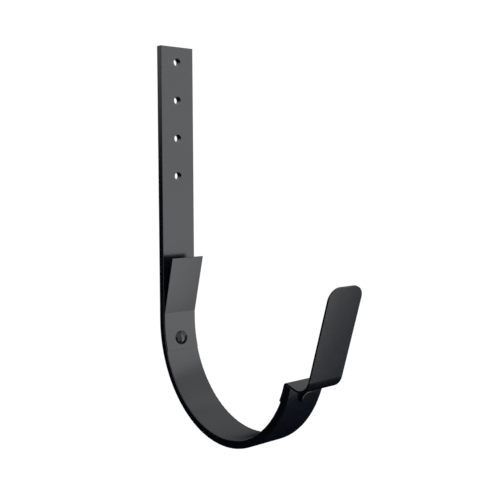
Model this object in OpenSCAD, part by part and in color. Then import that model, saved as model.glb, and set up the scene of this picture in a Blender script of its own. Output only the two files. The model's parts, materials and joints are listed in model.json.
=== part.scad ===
// Gutter bracket: a flat bar hook for a half-round gutter, with a spring tongue
// riveted inside its rear and a bendable bead clip riveted over its front end.
// +Z is up, X runs along the gutter and the wall is on the +Y side.
// The back face lies in the plane y = 0 and the origin is the middle of the
// row of fixing holes on that face.

/* [Bar] */
// Width of the flat bar, along the gutter
bar_w = 25; // [20:1:40]
// Thickness of the flat bar
bar_t = 5; // [4:0.5:8]
// Radius of the bar's rolled long edges
bar_edge_r = 0.5; // [0.2:0.1:1]
// Length of the straight shank, from its top end to the start of the arc
shank_l = 181; // [150:1:260]
// Inner diameter of the arc, which is the gutter's outer diameter
gutter_d = 125; // [100:1:160]
// Angle below level at which the front end of the bar stops
front_drop = 17; // [5:1:30]

/* [Fixing holes] */
// Number of fixing holes in the shank
hole_count = 4; // [2:1:5]
// Diameter of a fixing hole
hole_d = 5.25; // [4:0.25:8]
// Distance between the centres of neighbouring fixing holes
hole_pitch = 25; // [18:1:28]
// Distance from the top end of the shank to the centre of the first hole
hole_end_gap = 10; // [8:1:20]

/* [Clips] */
// Distance from each long edge of the bar to the edge of a clip
clip_inset = 0.5; // [0:0.25:2]

/* [Rear clip] */
// Thickness of the rear clip's sheet
rear_t = 0.8; // [0.5:0.1:1.5]
// Angle below level at which the rear clip's lower end stops
rear_drop = 19; // [17:1:25]
// Height above the start of the arc at which the tongue leaves the bar
tongue_lift = 4; // [1:0.5:10]
// Angle at which the tongue leans away from the bar
tongue_lean = 15; // [5:1:25]
// Length of the leaning part of the tongue
tongue_l = 39; // [20:0.5:55]
// Radius on the hollow side of the tongue's bend
tongue_bend_r = 2; // [1:0.5:6]

/* [Front clip] */
// Thickness of the front clip's sheet
front_t = 1.2; // [0.8:0.1:1.5]
// Arc of the tail that lies inside the bar's front end
tail_sweep = 9.5; // [9:0.5:16]
// Inner radius of the fold over the end of the bar
fold_r = 1.2; // [0.8:0.1:2]
// Length of the flat between the fold and the saddle
ledge_l = 5.8; // [5:0.1:12]
// Inner radius of the saddle that holds the gutter's bead
saddle_r = 9; // [6:0.5:12]
// Height of the tab above the floor of the saddle
tab_h = 63; // [40:1:80]
// Radius of the two top corners of the tab
tab_corner_r = 7; // [2:0.5:11]

/* [Rivets] */
// Diameter of a rivet's shank and of the holes that it fills
rivet_d = 4.8; // [3:0.1:5]
// Diameter of the rear rivet's domed head
dome_head_d = 9.5; // [8:0.5:11]
// Height of the rear rivet's domed head
dome_head_h = 2.4; // [1.5:0.1:3]
// Diameter of the front rivet's flat head
flat_head_d = 8.5; // [7:0.5:8.5]
// Height of the front rivet's flat head
flat_head_h = 2.6; // [1.5:0.1:3]
// Angle of the rear rivet below level
rear_rivet_drop = 12; // [10:0.5:12]
// Angle from the front end of the bar down to the front rivet
front_rivet_sweep = 4.5; // [4.5:0.5:6]
// Diameter of the rear rivet's closed end, set flush in the bar's back
flush_end_d = 8; // [6:0.5:10]
// Depth of the countersink round the flush end
flush_end_depth = 1.6; // [1:0.1:2]
// Diameter of the front rivet's closed end, on the clip's tail
closed_end_d = 6.5; // [6:0.5:7]
// Height of the front rivet's closed end
closed_end_h = 0.9; // [0.5:0.1:1.5]

/* [Hidden] */

coat_colour = [0.16, 0.17, 0.18];
rivet_colour = [0.12, 0.12, 0.13];

arc_in_r = gutter_d / 2;
arc_out_r = arc_in_r + bar_t;
hole_row_l = (hole_count - 1) * hole_pitch;
shank_top_z = hole_row_l / 2 + hole_end_gap;
arc_z = shank_top_z - shank_l;
bar_sweep = 180 - front_drop;
clip_w = bar_w - 2 * clip_inset;

rear_in_r = arc_in_r - rear_t;
tongue_out_r = tongue_bend_r + rear_t;

tail_in_r = arc_in_r - front_t;
fold_x = tail_in_r + fold_r + front_t;
saddle_x = fold_x + ledge_l;
floor_y = fold_r + front_t;
tab_x = saddle_x + saddle_r;
tab_top_y = floor_y + tab_h;
// The bar's inner corner clears the inside of the fold by this much
corner_clearance = 0.3;
corner_ease_r = fold_r + corner_clearance;
// Angle by which the bar runs on past its front end before it is trimmed
end_spare = 2;
front_rivet_turn = bar_sweep - front_rivet_sweep;

dome_r = (dome_head_d * dome_head_d / 4 + dome_head_h * dome_head_h) / (2 * dome_head_h);
// Radius round the rim of the flat head
flat_rim_r = 0.5;
// Distances that the rivets' shanks run on into their heads
dome_root = dome_head_h / 2;
flat_root = flat_head_h / 2;
// Extra length that carries a cutter or a trimmed solid past a surface
over = 1;

$fn = 96;
arc_fn = 240;

// ---- placement ----

// Spreads an outline across the bar: its x runs away from the wall, its y runs up
module across_bar(width) {
    rotate([90, 0, -90])
        linear_extrude(height = width, center = true)
            children();
}

// Moves to the arc's axis
module on_arc_axis() {
    translate([0, -arc_out_r, arc_z])
        children();
}

// Stands local Z along a radius of the arc, turned down from the rear by an angle
module along_radius(sweep) {
    on_arc_axis()
        rotate([-sweep, 0, 0])
            rotate([-90, 0, 0])
                children();
}

// Moves to the arc's axis and tips the frame, so that local -Y runs out along the
// radius through the front end of the bar and local Z runs up along the bar
module at_front_end() {
    on_arc_axis()
        rotate([front_drop, 0, 0])
            children();
}

// A cylinder round the arc's axis, wider than any part of the bracket
module arc_cylinder(radius) {
    on_arc_axis()
        rotate([0, 90, 0])
            cylinder(r = radius, h = bar_w + 2 * over, center = true, $fn = arc_fn);
}

// ---- outlines ----

// A sector of a flat ring, between two angles less than 180 degrees apart
module ring_sector(in_r, out_r, from, to) {
    reach = 2 * out_r;
    middle = (from + to) / 2;
    intersection() {
        difference() {
            circle(r = out_r, $fn = arc_fn);
            circle(r = in_r, $fn = arc_fn);
        }
        polygon([
            [0, 0],
            [reach * cos(from), reach * sin(from)],
            [reach * cos(middle), reach * sin(middle)],
            [reach * cos(to), reach * sin(to)]
        ]);
    }
}

// The bar's section, with its first side at x = 0 and its long edges rolled
module bar_section() {
    inset = bar_w / 2 - bar_edge_r;
    translate([0, -inset])
        square([bar_t, 2 * inset]);
    translate([bar_edge_r, -bar_w / 2])
        square([bar_t - 2 * bar_edge_r, bar_w]);
    for (x = [bar_edge_r, bar_t - bar_edge_r], y = [-inset, inset])
        translate([x, y])
            circle(r = bar_edge_r);
}

// The rear clip seen along the gutter: distance from the wall and height
module rear_outline() {
    bend_x = bar_t + rear_t + tongue_bend_r;
    bend_z = arc_z + tongue_lift;
    translate([arc_out_r, arc_z])
        ring_sector(rear_in_r, arc_in_r, 180, 180 + rear_drop);
    translate([bar_t, arc_z])
        square([rear_t, tongue_lift]);
    translate([bend_x, bend_z]) {
        ring_sector(tongue_bend_r, tongue_out_r, 180 - tongue_lean, 180);
        rotate(-tongue_lean)
            translate([-tongue_out_r, 0])
                square([rear_t, tongue_l]);
    }
}

// The front clip seen along the gutter, from the arc's centre: x runs out along
// the radius through the front end of the bar and y along the bar, upward
module front_outline() {
    ring_sector(tail_in_r, arc_in_r, -tail_sweep, 0);
    translate([fold_x, 0])
        ring_sector(fold_r, fold_r + front_t, 90, 180);
    translate([fold_x, fold_r])
        square([ledge_l, front_t]);
    translate([saddle_x, floor_y + saddle_r])
        ring_sector(saddle_r, saddle_r + front_t, 270, 360);
    translate([tab_x, floor_y + saddle_r])
        square([front_t, tab_h - saddle_r]);
}

// ---- cutters ----

// The fixing holes, right through the shank
module fixing_hole_cutter() {
    for (i = [0 : hole_count - 1])
        translate([0, over, i * hole_pitch - hole_row_l / 2])
            rotate([90, 0, 0])
                cylinder(d = hole_d, h = bar_t + 2 * over);
}

// Trims the front end of the bar flat under the ledge and eases its inner corner
module front_end_cutter() {
    ease_y = fold_r - corner_ease_r;
    at_front_end()
        across_bar(bar_w + 2 * over) {
            translate([arc_in_r - over, fold_r])
                square([bar_t + 2 * over, bar_t]);
            difference() {
                translate([arc_in_r - over, ease_y])
                    square(corner_ease_r + over);
                translate([arc_in_r + corner_ease_r, ease_y])
                    circle(r = corner_ease_r);
            }
        }
}

// Rounds the two top corners of the tab
module tab_corner_cutter() {
    for (flip = [0, 1])
        mirror([flip, 0, 0])
            translate([0, over - tab_x, 0])
                rotate([90, 0, 0])
                    linear_extrude(height = front_t + 2 * over)
                        translate([clip_w / 2 - tab_corner_r, tab_top_y - tab_corner_r])
                            difference() {
                                square(tab_corner_r + over);
                                circle(r = tab_corner_r);
                            }
}

// A rivet's shank hole, from the arc's axis out past the bar
module rivet_hole_cutter() {
    rivet_shank(0, arc_out_r + over);
}

// The countersink round the rear rivet's flush end, open past the bar's back
module countersink() {
    translate([0, 0, arc_out_r - flush_end_depth])
        cylinder(d1 = rivet_d, d2 = flush_end_d, h = flush_end_depth);
    translate([0, 0, arc_out_r])
        cylinder(d = flush_end_d, h = over);
}

// ---- rivets ----

// A rivet's shank between two distances from the arc's axis
module rivet_shank(from, to) {
    translate([0, 0, from])
        cylinder(d = rivet_d, h = to - from);
}

// A domed head on the plane z = 0, with a foot below it to be trimmed to a curve
module domed_head() {
    rotate_extrude()
        intersection() {
            translate([0, dome_head_h - dome_r])
                circle(r = dome_r, $fn = arc_fn);
            square([dome_head_d / 2, dome_head_h]);
        }
    translate([0, 0, -over])
        cylinder(d = dome_head_d, h = over);
}

// A flat head on the plane z = 0, with a foot below it to be trimmed to a curve
module flat_head() {
    rotate_extrude() {
        square([flat_head_d / 2, flat_head_h - flat_rim_r]);
        square([flat_head_d / 2 - flat_rim_r, flat_head_h]);
        translate([flat_head_d / 2 - flat_rim_r, flat_head_h - flat_rim_r])
            circle(r = flat_rim_r);
    }
    translate([0, 0, -over])
        cylinder(d = flat_head_d, h = over);
}

// ---- sub-parts ----

module hook_bar() {
    color(coat_colour)
        difference() {
            union() {
                translate([0, 0, arc_z])
                    linear_extrude(height = shank_l)
                        rotate(-90)
                            bar_section();
                on_arc_axis()
                    rotate([90, 0, 90])
                        rotate_extrude(angle = -bar_sweep - end_spare, $fn = arc_fn)
                            translate([arc_in_r, 0])
                                bar_section();
            }
            fixing_hole_cutter();
            front_end_cutter();
            along_radius(rear_rivet_drop) {
                rivet_hole_cutter();
                countersink();
            }
            along_radius(front_rivet_turn)
                rivet_hole_cutter();
        }
}

module rear_clip() {
    color(coat_colour)
        difference() {
            across_bar(clip_w)
                rear_outline();
            along_radius(rear_rivet_drop)
                rivet_hole_cutter();
        }
}

module rear_rivet() {
    color(rivet_colour) {
        intersection() {
            arc_cylinder(rear_in_r);
            along_radius(rear_rivet_drop)
                translate([0, 0, rear_in_r])
                    mirror([0, 0, 1])
                        domed_head();
        }
        intersection() {
            arc_cylinder(arc_out_r);
            along_radius(rear_rivet_drop) {
                rivet_shank(rear_in_r - dome_root, arc_out_r + over);
                countersink();
            }
        }
    }
}

module front_clip() {
    color(coat_colour)
        difference() {
            at_front_end()
                difference() {
                    across_bar(clip_w)
                        front_outline();
                    tab_corner_cutter();
                }
            along_radius(front_rivet_turn)
                rivet_hole_cutter();
        }
}

module front_rivet() {
    color(rivet_colour) {
        difference() {
            along_radius(front_rivet_turn)
                translate([0, 0, arc_out_r])
                    flat_head();
            arc_cylinder(arc_out_r);
        }
        along_radius(front_rivet_turn)
            rivet_shank(tail_in_r - closed_end_h, arc_out_r + flat_root);
        intersection() {
            arc_cylinder(tail_in_r);
            along_radius(front_rivet_turn)
                translate([0, 0, tail_in_r - closed_end_h])
                    cylinder(d = closed_end_d, h = closed_end_h + over);
        }
    }
}

hook_bar();
rear_clip();
rear_rivet();
front_clip();
front_rivet();
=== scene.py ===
"""Looks of the gutter bracket: its powder coat, the studio round it and the camera.

Lengths are in metres. Z is 0 at the middle of the shank's row of fixing holes.
"""

import json
import math

import bpy
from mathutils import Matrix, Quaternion, Vector


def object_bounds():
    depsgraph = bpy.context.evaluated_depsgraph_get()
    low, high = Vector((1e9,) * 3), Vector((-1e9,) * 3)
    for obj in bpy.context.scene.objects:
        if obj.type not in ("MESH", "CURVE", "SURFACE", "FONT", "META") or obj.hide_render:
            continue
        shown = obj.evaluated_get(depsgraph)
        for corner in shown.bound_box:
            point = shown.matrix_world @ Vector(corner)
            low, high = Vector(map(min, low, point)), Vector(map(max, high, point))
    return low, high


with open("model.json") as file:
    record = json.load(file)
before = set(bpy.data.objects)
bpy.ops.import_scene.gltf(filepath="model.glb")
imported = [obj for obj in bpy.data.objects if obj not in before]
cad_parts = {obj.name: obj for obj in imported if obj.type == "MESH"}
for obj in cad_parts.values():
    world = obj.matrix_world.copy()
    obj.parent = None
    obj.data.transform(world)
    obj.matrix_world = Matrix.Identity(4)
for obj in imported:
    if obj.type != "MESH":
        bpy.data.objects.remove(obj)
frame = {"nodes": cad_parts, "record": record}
cad_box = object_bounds()

MM = 0.001
UP = (0, 0, 1)

box_low, box_high = cad_box
centre = (box_low + box_high) / 2


def node(tree, kind, x, y, **settings):
    """Adds a shader node at a place in the tree's layout."""
    made = tree.nodes.new(kind)
    made.location = (x, y)
    for key, value in settings.items():
        setattr(made, key, value)
    return made


# ---- powder coat ----

BAR_COLOUR = (0.0060, 0.0088, 0.0145)
CLIP_COLOUR = (0.0080, 0.0105, 0.0155)
RIVET_COLOUR = (0.0070, 0.0090, 0.0125)
COAT_IOR = 1.5
MOTTLE_SIZE = 9 * MM
MOTTLE_SPREAD = 0.15
GLOSS_PATCH_SIZE = 3 * MM
GLOSS_SPREAD = 0.012
PEEL_SIZE = 0.9 * MM
EDGE_RADIUS = 0.15 * MM
NOISE_LOW = 0.3
NOISE_HIGH = 0.7


def noise(tree, position, size, detail, x, y):
    """Solid noise with features of the given size, fixed to the metal."""
    made = node(tree, "ShaderNodeTexNoise", x, y)
    made.inputs["Scale"].default_value = 1 / size
    made.inputs["Detail"].default_value = detail
    tree.links.new(position, made.inputs["Vector"])
    return made.outputs["Fac"]


def spread(tree, value, low, high, x, y):
    """Maps the usual range of a noise value to another range."""
    made = node(tree, "ShaderNodeMapRange", x, y)
    made.inputs["From Min"].default_value = NOISE_LOW
    made.inputs["From Max"].default_value = NOISE_HIGH
    made.inputs["To Min"].default_value = low
    made.inputs["To Max"].default_value = high
    tree.links.new(value, made.inputs["Value"])
    return made.outputs["Result"]


def mottle(tree, position, colour, shader):
    """Faint lighter and darker patches in the coat's colour."""
    patches = noise(tree, position, MOTTLE_SIZE, detail=3, x=-600, y=300)
    tint = node(tree, "ShaderNodeMix", 200, 300, data_type="RGBA")
    tint.inputs["A"].default_value = (*((1 - MOTTLE_SPREAD) * c for c in colour), 1)
    tint.inputs["B"].default_value = (*((1 + MOTTLE_SPREAD) * c for c in colour), 1)
    tree.links.new(spread(tree, patches, 0, 1, x=-200, y=300), tint.inputs["Factor"])
    tree.links.new(tint.outputs["Result"], shader.inputs["Base Color"])


def uneven_gloss(tree, position, roughness, shader):
    """Small patches that are a little more or less rough."""
    patches = noise(tree, position, GLOSS_PATCH_SIZE, detail=4, x=-600, y=0)
    smoothest = roughness - GLOSS_SPREAD
    roughest = roughness + GLOSS_SPREAD
    uneven = spread(tree, patches, smoothest, roughest, x=-200, y=0)
    tree.links.new(uneven, shader.inputs["Roughness"])


def orange_peel(tree, position, peel_height, shader):
    """The coat's slight waviness, and edges softened by its thickness."""
    peel = noise(tree, position, PEEL_SIZE, detail=2, x=-600, y=-300)
    edge = node(tree, "ShaderNodeBevel", -200, -500, samples=4)
    edge.inputs["Radius"].default_value = EDGE_RADIUS
    bump = node(tree, "ShaderNodeBump", 200, -300)
    bump.inputs["Strength"].default_value = 1
    bump.inputs["Distance"].default_value = peel_height
    tree.links.new(peel, bump.inputs["Height"])
    tree.links.new(edge.outputs["Normal"], bump.inputs["Normal"])
    tree.links.new(bump.outputs["Normal"], shader.inputs["Normal"])


def powder_coat(name, colour, roughness, peel_height):
    """Powder coat on steel, near-black with a blue cast."""
    material = bpy.data.materials.new(name)
    material.use_nodes = True
    tree = material.node_tree
    tree.nodes.clear()
    output = node(tree, "ShaderNodeOutputMaterial", 900, 0)
    shader = node(tree, "ShaderNodeBsdfPrincipled", 600, 0)
    tree.links.new(shader.outputs["BSDF"], output.inputs["Surface"])
    shader.inputs["IOR"].default_value = COAT_IOR
    position = node(tree, "ShaderNodeTexCoord", -900, 0).outputs["Object"]
    mottle(tree, position, colour, shader)
    uneven_gloss(tree, position, roughness, shader)
    orange_peel(tree, position, peel_height, shader)
    return material


coats = {
    "bar_coat": powder_coat(
        "satin_bar_coat", BAR_COLOUR, roughness=0.21, peel_height=0.0015 * MM
    ),
    "clip_coat": powder_coat(
        "satin_clip_coat", CLIP_COLOUR, roughness=0.18, peel_height=0.0012 * MM
    ),
    "rivet_coat": powder_coat(
        "glossy_rivet_coat", RIVET_COLOUR, roughness=0.16, peel_height=0.001 * MM
    ),
}

for subpart in frame["record"]["subparts"]:
    part = frame["nodes"][subpart["node"]]
    part.data.materials.clear()
    part.data.materials.append(coats[subpart["material_slot"]])

# ---- white surround and floor ----

WHITE = (1, 1, 1, 1)
AMBIENT = 0.22
FLOOR_COLOUR = (0.80, 0.80, 0.80, 1)
FLOOR_SIZE = 40.0
FLOOR_DROP = 0.80
NEAR_FLOOR = 1.0
NEAR_GLOW = 0.60
FAR_FLOOR = 1.8
FAR_GLOW = 0.85


def seen_directly(tree, x, y):
    """1 for camera, glossy and transmission rays, 0 for the rays that light things."""
    path = node(tree, "ShaderNodeLightPath", x, y)
    total = path.outputs["Is Camera Ray"]
    for i, ray in enumerate(("Is Glossy Ray", "Is Transmission Ray")):
        add = node(tree, "ShaderNodeMath", x + 200 * (i + 1), y, operation="MAXIMUM")
        tree.links.new(total, add.inputs[0])
        tree.links.new(path.outputs[ray], add.inputs[1])
        total = add.outputs[0]
    return total


def white_world():
    """White where it is seen, and a dim even light elsewhere."""
    world = bpy.data.worlds.new("white_world")
    world.use_nodes = True
    tree = world.node_tree
    tree.nodes.clear()
    output = node(tree, "ShaderNodeOutputWorld", 800, 0)
    background = node(tree, "ShaderNodeBackground", 600, 0)
    background.inputs["Color"].default_value = WHITE
    level = node(tree, "ShaderNodeMapRange", 300, 0)
    level.inputs["To Min"].default_value = AMBIENT
    level.inputs["To Max"].default_value = 1
    tree.links.new(seen_directly(tree, -400, 0), level.inputs["Value"])
    tree.links.new(level.outputs["Result"], background.inputs["Strength"])
    tree.links.new(background.outputs["Background"], output.inputs["Surface"])
    bpy.context.scene.world = world


def floor_material():
    """Pale and plain: lit and shadowed near the object, and white where it is far."""
    material = bpy.data.materials.new("pale_floor")
    material.use_nodes = True
    tree = material.node_tree
    tree.nodes.clear()
    output = node(tree, "ShaderNodeOutputMaterial", 900, 0)
    both = node(tree, "ShaderNodeAddShader", 700, 0)
    lit = node(tree, "ShaderNodeBsdfDiffuse", 400, 200)
    lit.inputs["Color"].default_value = FLOOR_COLOUR
    glow = node(tree, "ShaderNodeEmission", 400, -100)
    place = node(tree, "ShaderNodeTexCoord", -400, -100).outputs["Object"]
    distance = node(tree, "ShaderNodeVectorMath", -200, -100, operation="LENGTH")
    tree.links.new(place, distance.inputs[0])
    fade = node(tree, "ShaderNodeMapRange", 0, -100, interpolation_type="SMOOTHSTEP")
    fade.inputs["From Min"].default_value = NEAR_FLOOR
    fade.inputs["From Max"].default_value = FAR_FLOOR
    fade.inputs["To Min"].default_value = NEAR_GLOW
    fade.inputs["To Max"].default_value = FAR_GLOW
    tree.links.new(distance.outputs["Value"], fade.inputs["Value"])
    seen = node(tree, "ShaderNodeMath", 200, -100, operation="MULTIPLY")
    tree.links.new(fade.outputs["Result"], seen.inputs[0])
    tree.links.new(seen_directly(tree, -400, -400), seen.inputs[1])
    tree.links.new(seen.outputs["Value"], glow.inputs["Strength"])
    tree.links.new(lit.outputs["BSDF"], both.inputs[0])
    tree.links.new(glow.outputs["Emission"], both.inputs[1])
    tree.links.new(both.outputs["Shader"], output.inputs["Surface"])
    return material


def sheet(name, width, depth, location, facing, material):
    """A flat stage sheet whose face looks along a direction."""
    mesh = bpy.data.meshes.new(name)
    x = width / 2
    y = depth / 2
    mesh.from_pydata([(-x, -y, 0), (x, -y, 0), (x, y, 0), (-x, y, 0)], [], [(0, 1, 2, 3)])
    made = bpy.data.objects.new(name, mesh)
    bpy.context.collection.objects.link(made)
    made.location = location
    made.rotation_mode = "QUATERNION"
    made.rotation_quaternion = Vector(facing).to_track_quat("Z", "Y")
    mesh.materials.append(material)
    return made


white_world()
sheet(
    "floor",
    width=FLOOR_SIZE,
    depth=FLOOR_SIZE,
    location=(centre.x, centre.y, box_low.z - FLOOR_DROP),
    facing=UP,
    material=floor_material(),
)

# ---- softboxes ----


def direction(azimuth, elevation):
    """Unit vector: azimuth 0 is away from the wall, 90 is along +X, angles in degrees."""
    turn = math.radians(azimuth)
    rise = math.radians(elevation)
    return Vector((
        math.sin(turn) * math.cos(rise),
        -math.cos(turn) * math.cos(rise),
        math.sin(rise),
    ))


def softbox(name, azimuth, elevation, distance, width, height, radiance):
    """A rectangular lamp of even radiance that faces the object."""
    data = bpy.data.lights.new(name, "AREA")
    data.shape = "RECTANGLE"
    data.size = width
    data.size_y = height
    data.energy = radiance * math.pi * width * height
    made = bpy.data.objects.new(name, data)
    bpy.context.collection.objects.link(made)
    towards = direction(azimuth, elevation)
    made.location = centre + distance * towards
    made.rotation_mode = "QUATERNION"
    made.rotation_quaternion = towards.to_track_quat("Z", "Y")
    made.visible_camera = False


# The main light, which the shank, the rear clip and the tab reflect. Its upper edge
# gives the step in tone inside the arc.
softbox(
    "key_softbox",
    azimuth=28.5,
    elevation=-4,
    distance=0.75,
    width=0.52,
    height=1.70,
    radiance=1.66,
)

# Lifts the tongue and the rear rivet a little.
softbox(
    "low_softbox",
    azimuth=29,
    elevation=-41,
    distance=0.98,
    width=0.32,
    height=0.45,
    radiance=0.75,
)

# Evens out the tone inside the arc, below that step.
softbox(
    "top_softbox",
    azimuth=70,
    elevation=54,
    distance=1.0,
    width=0.75,
    height=0.48,
    radiance=0.36,
)

# ---- cards ----

CARD_DISTANCE = 1.0
LEFT_AZIMUTH = -142
LEFT_HORIZON = -0.02


def card(name, width, depth, location, facing, foot=0.0, top=0.0):
    """A card that only reflections see, graded from its foot's radiance to its top's."""
    material = bpy.data.materials.new(name)
    material.use_nodes = True
    tree = material.node_tree
    tree.nodes.clear()
    output = node(tree, "ShaderNodeOutputMaterial", 400, 0)
    shade = node(tree, "ShaderNodeEmission", 200, 0)
    shade.inputs["Color"].default_value = WHITE
    height = node(tree, "ShaderNodeSeparateXYZ", -200, 0)
    place = node(tree, "ShaderNodeTexCoord", -400, 0).outputs["Generated"]
    tree.links.new(place, height.inputs["Vector"])
    level = node(tree, "ShaderNodeMapRange", 0, 0)
    level.inputs["To Min"].default_value = foot
    level.inputs["To Max"].default_value = top
    tree.links.new(height.outputs["Y"], level.inputs["Value"])
    tree.links.new(level.outputs["Result"], shade.inputs["Strength"])
    tree.links.new(shade.outputs["Emission"], output.inputs["Surface"])
    made = sheet(name, width, depth, location, facing, material)
    made.visible_camera = False
    made.visible_diffuse = False
    made.visible_shadow = False
    made.visible_transmission = False


def standing_card(name, azimuth, width, low_z, high_z, distance=CARD_DISTANCE, foot=0.0, top=0.0):
    """An upright card that faces the object from an azimuth, between two heights."""
    towards = direction(azimuth, 0)
    middle = Vector((centre.x, centre.y, (low_z + high_z) / 2))
    card(name, width, high_z - low_z, middle + distance * towards, -towards, foot, top)


# Each comment names what reflects the card below it.

# The bar's narrow left side, which is black low down and paler towards its top.
standing_card(
    "left_card",
    azimuth=LEFT_AZIMUTH,
    width=1.10,
    low_z=-0.95,
    high_z=LEFT_HORIZON,
)
standing_card(
    "left_horizon_card",
    azimuth=LEFT_AZIMUTH,
    width=1.10,
    low_z=LEFT_HORIZON,
    high_z=0.26,
    top=0.8,
)

# The left of the rear rivet's dome.
standing_card("side_card", azimuth=-80, width=1.20, low_z=-0.95, high_z=0.12)

# The ledge, the saddle and the lower inside of the arc.
standing_card("right_card", azimuth=133, width=1.00, low_z=-0.22, high_z=0.97, top=0.95)

# The right of the rear rivet's dome.
standing_card("right_side_card", azimuth=92, width=0.90, low_z=-0.95, high_z=0.00)

# The tab's face.
standing_card(
    "corner_card",
    azimuth=64,
    width=0.55,
    low_z=-0.98,
    high_z=-0.48,
    distance=0.92,
    foot=0.1,
    top=0.2,
)

# The lowest part of the arc's inside.
standing_card("arc_card", azimuth=144, width=0.40, low_z=-0.30, high_z=-0.19, distance=0.35)

# The outside of the arc and the flat head of the front rivet.
card("low_card", width=1.60, depth=1.34, location=(0.20, 0.33, -0.45), facing=UP)

# ---- camera ----

CAMERA_AZIMUTH = -38.50
CAMERA_ELEVATION = 4.14
CAMERA_DISTANCE = 0.4551
CAMERA_ROLL = -0.16
AIM_OFFSET = Vector((0.6, 0.2, 7.3)) * MM
LENS = 55.15
SHIFT_DOWN = 0.04


def make_camera():
    """The camera at the photograph's angle, aimed just above the middle of the box."""
    data = bpy.data.cameras.new("camera")
    data.lens = LENS
    data.shift_y = -SHIFT_DOWN
    made = bpy.data.objects.new("camera", data)
    bpy.context.collection.objects.link(made)
    back = direction(CAMERA_AZIMUTH, CAMERA_ELEVATION)
    made.location = centre + AIM_OFFSET + CAMERA_DISTANCE * back
    made.rotation_mode = "QUATERNION"
    level = (-back).to_track_quat("-Z", "Y")
    made.rotation_quaternion = level @ Quaternion((0, 0, 1), math.radians(CAMERA_ROLL))
    bpy.context.scene.camera = made


make_camera()
bpy.context.scene.view_settings.view_transform = "Standard"
